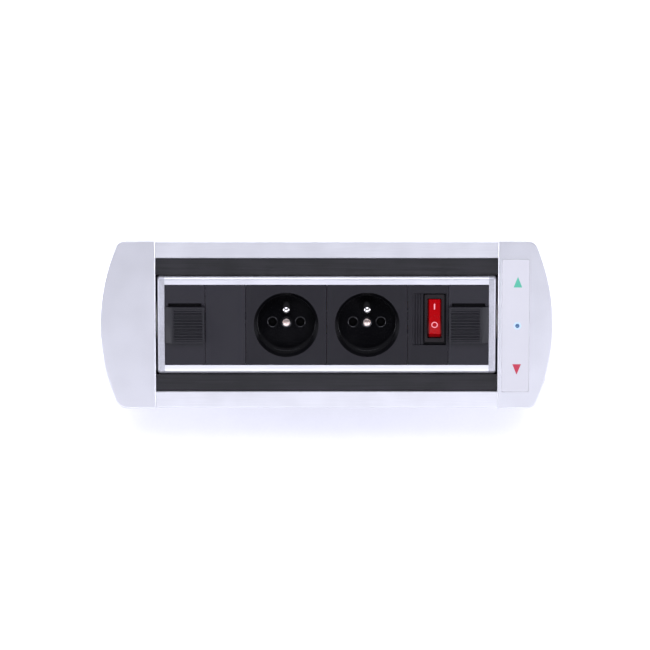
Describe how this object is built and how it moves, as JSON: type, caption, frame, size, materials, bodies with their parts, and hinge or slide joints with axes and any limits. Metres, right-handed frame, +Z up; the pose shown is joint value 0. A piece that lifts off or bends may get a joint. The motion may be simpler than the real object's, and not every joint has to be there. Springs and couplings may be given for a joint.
{
  "type": "rotating desk socket",
  "caption": "Worktop socket row on a motor-driven drum that turns face up or face down, with earthed outlets, a rocker switch, finger catches and a touch panel",
  "frame": {"origin": "middle of the underside of the sunken housing", "axes": "+X along the row towards the touch panel, +Y towards the rear rail, +Z up out of the worktop"},
  "size_m": [0.308, 0.1148, 0.0795],
  "materials": {
    "anodised_rail": "fine satin anodised extrusion",
    "drum_aluminium": "bright satin anodised extrusion",
    "cap_plastic": "silver moulded plastic, fine grain",
    "end_plate_metal": "satin die-cast plate with rounded edges",
    "strip_plastic": "black extruded strip, faint lengthwise lines",
    "module_plastic": "black moulded plastic, fine spark-eroded grain",
    "grip_plastic": "black moulded plastic with ribs",
    "socket_plastic": "black moulded plastic, smooth in the cup",
    "panel_plastic": "pale glossy touch panel",
    "led_lens": "blue status light",
    "board": "glass-fibre circuit board",
    "component": "moulded electronic components",
    "housing_steel": "black powder-coated sheet",
    "bracket_steel": "zinc-plated sheet",
    "screw_steel": "zinc-plated screws",
    "axle_steel": "turned steel",
    "bush_plastic": "acetal bushes",
    "gear_plastic": "moulded acetal gears",
    "motor_metal": "drawn steel can",
    "brass": "stamped and turned brass",
    "earth_pin_metal": "nickel-plated brass",
    "rocker_plastic": "red translucent moulded rocker",
    "switch_plastic": "black moulded switch body",
    "gland_plastic": "black polyamide gland",
    "seal_rubber": "rubber seal",
    "lead_sheath": "black sheathed lead"
  },
  "bodies": {
    "frame": {"front_rail": "anodised_rail", "rear_rail": "anodised_rail", "lip_strips": "strip_plastic", "left_end_cap": "cap_plastic", "right_end_cap": "cap_plastic", "touch_panel": "panel_plastic", "touch_board": "board", "status_led": "led_lens", "housing_trough": "housing_steel", "left_end_wall": "housing_steel", "right_end_wall": "housing_steel", "left_bearing_bracket": "bracket_steel", "right_bearing_bracket": "bracket_steel", "frame_screws": "screw_steel", "clamp_screws": "screw_steel", "gland_body": "gland_plastic", "gland_seal": "seal_rubber", "gland_nut": "gland_plastic", "gland_locknut": "gland_plastic", "terminal_block": "bush_plastic", "terminal_lead": "lead_sheath", "control_board": "board", "board_spacers": "bush_plastic", "board_components": "component", "axle_bushes": "bush_plastic", "drive_motor": "motor_metal", "motor_gearbox": "motor_metal", "idler_post": "axle_steel"},
    "left_claw": {"left_clamp_claw": "bracket_steel"},
    "right_claw": {"right_clamp_claw": "bracket_steel"},
    "idler": {"idler_gear": "gear_plastic"},
    "pinion": {"drive_pinion": "brass"},
    "drum": {"drum_profile": "drum_aluminium", "left_end_plate": "end_plate_metal", "right_end_plate": "end_plate_metal", "left_axle": "axle_steel", "right_axle": "axle_steel", "axle_ring": "axle_steel", "drum_screws": "screw_steel", "drum_gear": "gear_plastic", "blank_module": "module_plastic", "left_socket": "socket_plastic", "right_socket": "socket_plastic", "socket_backs": "switch_plastic", "earth_pins": "earth_pin_metal", "centre_screws": "screw_steel", "line_busbar": "brass", "neutral_busbar": "brass", "earth_busbar": "brass", "switch_module": "module_plastic", "switch_body": "switch_plastic", "switch_terminals": "brass", "drum_lead": "lead_sheath", "left_grip_module": "module_plastic", "right_grip_module": "module_plastic"},
    "left_catch_body": {"left_catch": "grip_plastic"},
    "right_catch_body": {"right_catch": "grip_plastic"},
    "rocker_body": {"rocker": "rocker_plastic"},
    "left_shutter_body": {"left_shutter": "switch_plastic"},
    "right_shutter_body": {"right_shutter": "switch_plastic"}
  },
  "joints": [
    {"name": "drum_turn", "type": "hinge", "parent": "frame", "child": "drum", "pos_m": [0, 0, 0.04604], "axis": [1, 0, 0], "range_deg": [0, 180]},
    {"name": "idler_spin", "type": "hinge", "parent": "frame", "child": "idler", "pos_m": [0.1207, -0.03238, 0.03008], "axis": [1, 0, 0], "range_deg": [-319, 0]},
    {"name": "pinion_spin", "type": "hinge", "parent": "frame", "child": "pinion", "pos_m": [0.1207, -0.0387, 0.011], "axis": [1, 0, 0], "range_deg": [0, 592]},
    {"name": "rocker_press", "type": "hinge", "parent": "drum", "child": "rocker_body", "pos_m": [0.0731, 0.0045, 0.07054], "axis": [1, 0, 0], "range_deg": [0, 28.6]},
    {"name": "left_catch_slide", "type": "slide", "parent": "drum", "child": "left_catch_body", "axis": [0, 1, 0], "range_m": [0, 0.0017], "stiffness_N_per_m": 300},
    {"name": "right_catch_slide", "type": "slide", "parent": "drum", "child": "right_catch_body", "axis": [0, 1, 0], "range_m": [0, 0.0017], "stiffness_N_per_m": 300},
    {"name": "left_shutter_slide", "type": "slide", "parent": "drum", "child": "left_shutter_body", "axis": [0, -1, 0], "range_m": [0, 0.0061], "stiffness_N_per_m": 40},
    {"name": "right_shutter_slide", "type": "slide", "parent": "drum", "child": "right_shutter_body", "axis": [0, -1, 0], "range_m": [0, 0.0061], "stiffness_N_per_m": 40},
    {"name": "left_claw_slide", "type": "slide", "parent": "frame", "child": "left_claw", "axis": [0, 0, 1], "range_m": [-0.008, 0.012]},
    {"name": "right_claw_slide", "type": "slide", "parent": "frame", "child": "right_claw", "axis": [0, 0, 1], "range_m": [-0.008, 0.012]}
  ],
  "couplings": [
    {"joint": "idler_spin", "follows": "drum_turn", "ratio": -1.7692},
    {"joint": "pinion_spin", "follows": "drum_turn", "ratio": 3.2857}
  ]
}
